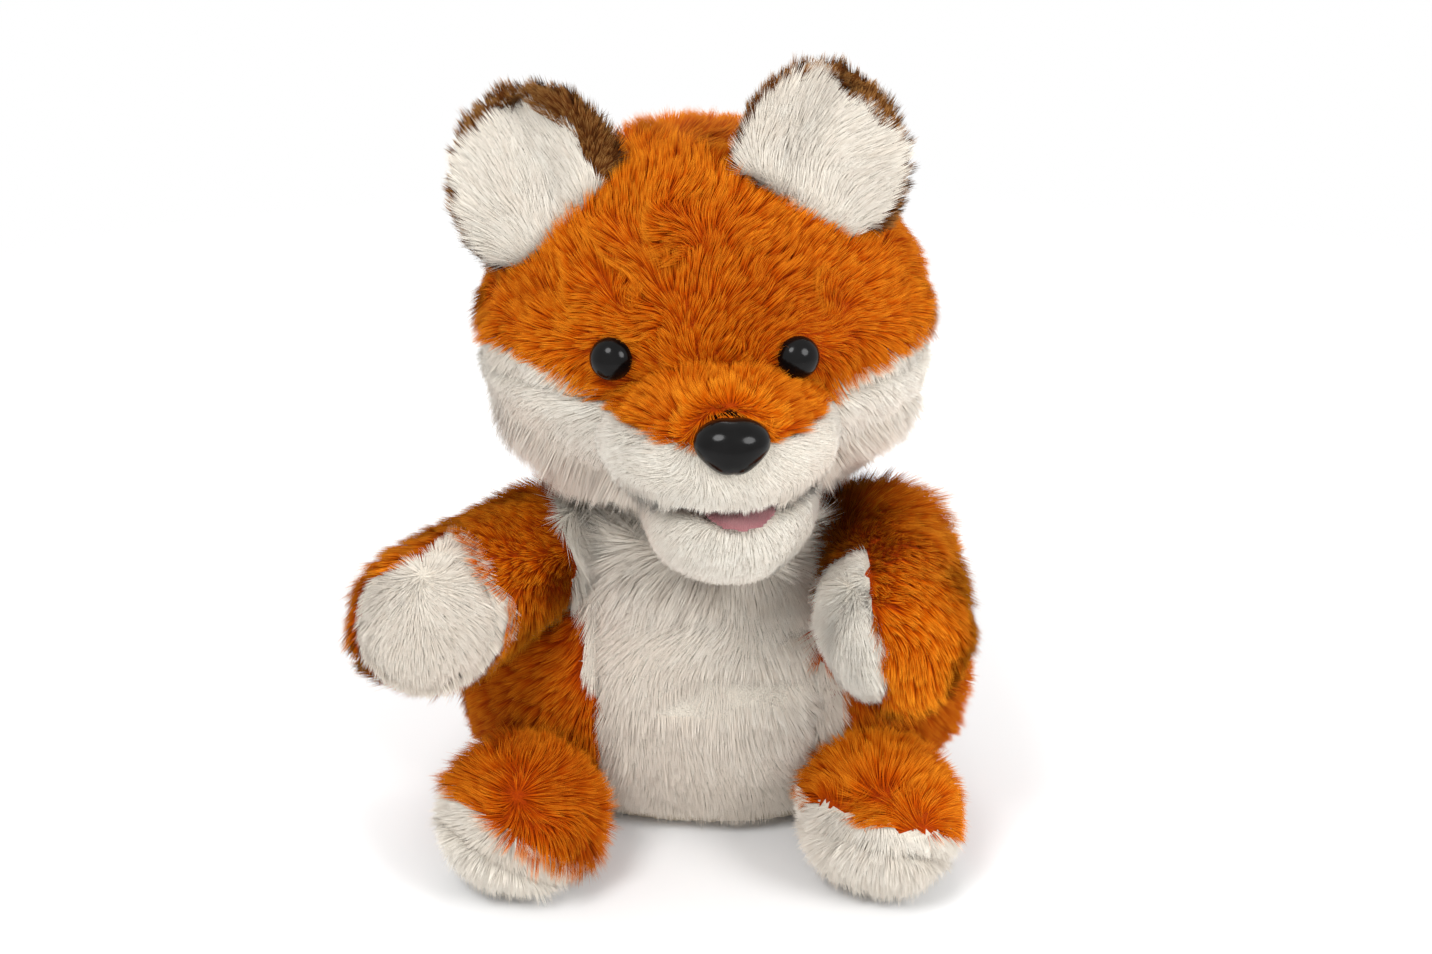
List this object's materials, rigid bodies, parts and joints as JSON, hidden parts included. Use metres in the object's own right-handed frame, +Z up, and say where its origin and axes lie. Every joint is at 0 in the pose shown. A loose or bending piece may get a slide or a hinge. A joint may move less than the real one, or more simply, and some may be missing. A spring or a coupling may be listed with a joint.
{
  "type": "fox hand puppet",
  "caption": "Full-body sitting fox hand puppet in orange and white fur fabric, with a moving mouth, turning head, soft arms, legs, ears and tail.",
  "frame": {"origin": "middle of the base, on the surface that the puppet sits on", "axes": "+Z up, -Y the way the puppet faces, +X to its own left side"},
  "size_m": [0.2114, 0.235, 0.2721],
  "materials": {
    "orange_fur": "long orange pile, red-brown at its roots",
    "white_fur": "cream white pile",
    "brown_fur": "short dark brown pile with tan tips",
    "lining_cloth": "smooth woven lining",
    "fibre_filling": "loose polyester fibre",
    "mouth_cloth": "mauve pink brushed cloth",
    "tongue_cloth": "pale pink brushed cloth",
    "black_plastic": "polished black moulding"
  },
  "bodies": {
    "torso": {"belly_panel": "white_fur", "side_panel_right": "orange_fur", "side_panel_left": "orange_fur", "body_wadding": "fibre_filling", "glove_lining": "lining_cloth", "bottom_hem": "lining_cloth", "neck_sleeve": "lining_cloth"},
    "neck_turn": {"neck_inner_collar": "lining_cloth"},
    "neck_nod": {"neck_outer_collar": "lining_cloth"},
    "head": {"crown_panel": "orange_fur", "cheek_panel_right": "white_fur", "cheek_panel_left": "white_fur", "nape_panel": "orange_fur", "muzzle_bridge_panel": "orange_fur", "muzzle_lip_panel": "white_fur", "head_filling": "fibre_filling", "finger_pocket": "lining_cloth", "palate_lining": "mouth_cloth", "nose": "black_plastic", "nose_washer": "black_plastic", "eye_right": "black_plastic", "eye_right_washer": "black_plastic", "eye_left": "black_plastic", "eye_left_washer": "black_plastic"},
    "jaw": {"chin_panel": "white_fur", "jaw_filling": "fibre_filling", "mouth_floor_lining": "mouth_cloth", "thumb_pocket": "lining_cloth", "tongue": "tongue_cloth"},
    "ear_right": {"ear_right_back": "brown_fur", "ear_right_front": "white_fur"},
    "ear_left": {"ear_left_back": "brown_fur", "ear_left_front": "white_fur"},
    "shoulder_right": {"arm_right_gusset": "orange_fur"},
    "arm_right": {"arm_right_sleeve": "orange_fur", "arm_right_palm": "white_fur", "arm_right_filling": "fibre_filling"},
    "shoulder_left": {"arm_left_gusset": "orange_fur"},
    "arm_left": {"arm_left_sleeve": "orange_fur", "arm_left_palm": "white_fur", "arm_left_filling": "fibre_filling"},
    "leg_right": {"leg_right_cover": "orange_fur", "leg_right_sole": "white_fur", "leg_right_filling": "fibre_filling"},
    "leg_left": {"leg_left_cover": "orange_fur", "leg_left_sole": "white_fur", "leg_left_filling": "fibre_filling"},
    "tail_root": {"tail_gusset": "orange_fur"},
    "tail": {"tail_cover": "orange_fur", "tail_tip": "white_fur", "tail_filling": "fibre_filling"}
  },
  "joints": [
    {"name": "head_turn", "type": "hinge", "parent": "torso", "child": "neck_turn", "pos_m": [0.01373, -0.01391, 0.12], "axis": [0, 0, 1], "range_deg": [-18, 18], "stiffness_Nm_per_rad": 0.6},
    {"name": "head_nod", "type": "hinge", "parent": "neck_turn", "child": "neck_nod", "pos_m": [0.01373, -0.01391, 0.12], "axis": [-0.9945, -0.1045, 0], "range_deg": [-6, 12], "stiffness_Nm_per_rad": 1.5},
    {"name": "head_tilt", "type": "hinge", "parent": "neck_nod", "child": "head", "pos_m": [0.01373, -0.01391, 0.12], "axis": [-0.1044, 0.9932, 0.0523], "range_deg": [-5, 5], "stiffness_Nm_per_rad": 1.5},
    {"name": "jaw_open", "type": "hinge", "parent": "head", "child": "jaw", "pos_m": [0.01885, -0.06262, 0.13746], "axis": [0.9945, 0.1045, 0], "range_deg": [-3, 22], "stiffness_Nm_per_rad": 0.1},
    {"name": "ear_right_fold", "type": "hinge", "parent": "head", "child": "ear_right", "pos_m": [-0.03547, -0.04281, 0.22236], "axis": [0.7071, 0.0371, 0.7061], "range_deg": [-15, 20], "stiffness_Nm_per_rad": 0.05},
    {"name": "ear_left_fold", "type": "hinge", "parent": "head", "child": "ear_left", "pos_m": [0.04233, -0.04604, 0.22873], "axis": [0.7803, 0.1144, -0.6148], "range_deg": [-15, 20], "stiffness_Nm_per_rad": 0.05},
    {"name": "arm_right_swing", "type": "hinge", "parent": "torso", "child": "shoulder_right", "pos_m": [-0.04527, -0.03791, 0.103], "axis": [0, 0, 1], "range_deg": [-20, 14], "stiffness_Nm_per_rad": 0.2},
    {"name": "arm_right_pitch", "type": "hinge", "parent": "shoulder_right", "child": "arm_right", "pos_m": [-0.04527, -0.03791, 0.103], "axis": [0.6877, -0.726, 0], "range_deg": [-30, 10], "stiffness_Nm_per_rad": 0.2},
    {"name": "arm_left_swing", "type": "hinge", "parent": "torso", "child": "shoulder_left", "pos_m": [0.07273, -0.03791, 0.103], "axis": [0, 0, 1], "range_deg": [-5, 40], "stiffness_Nm_per_rad": 0.2},
    {"name": "arm_left_pitch", "type": "hinge", "parent": "shoulder_left", "child": "arm_left", "pos_m": [0.07273, -0.03791, 0.103], "axis": [1, 0, 0], "range_deg": [-30, 10], "stiffness_Nm_per_rad": 0.2},
    {"name": "leg_right_swing", "type": "hinge", "parent": "torso", "child": "leg_right", "pos_m": [-0.03927, -0.05391, 0.028], "axis": [-1, 0, 0], "range_deg": [-25, 3], "stiffness_Nm_per_rad": 0.2},
    {"name": "leg_left_swing", "type": "hinge", "parent": "torso", "child": "leg_left", "pos_m": [0.05873, -0.05391, 0.028], "axis": [-1, 0, 0], "range_deg": [-25, 3], "stiffness_Nm_per_rad": 0.2},
    {"name": "tail_wag", "type": "hinge", "parent": "torso", "child": "tail_root", "pos_m": [0.01373, 0.03309, 0.03], "axis": [0, 0, 1], "range_deg": [-20, 20], "stiffness_Nm_per_rad": 0.1},
    {"name": "tail_lift", "type": "hinge", "parent": "tail_root", "child": "tail", "pos_m": [0.01373, 0.03309, 0.03], "axis": [0.9442, -0.3294, 0], "range_deg": [-20, 10], "stiffness_Nm_per_rad": 0.1}
  ]
}
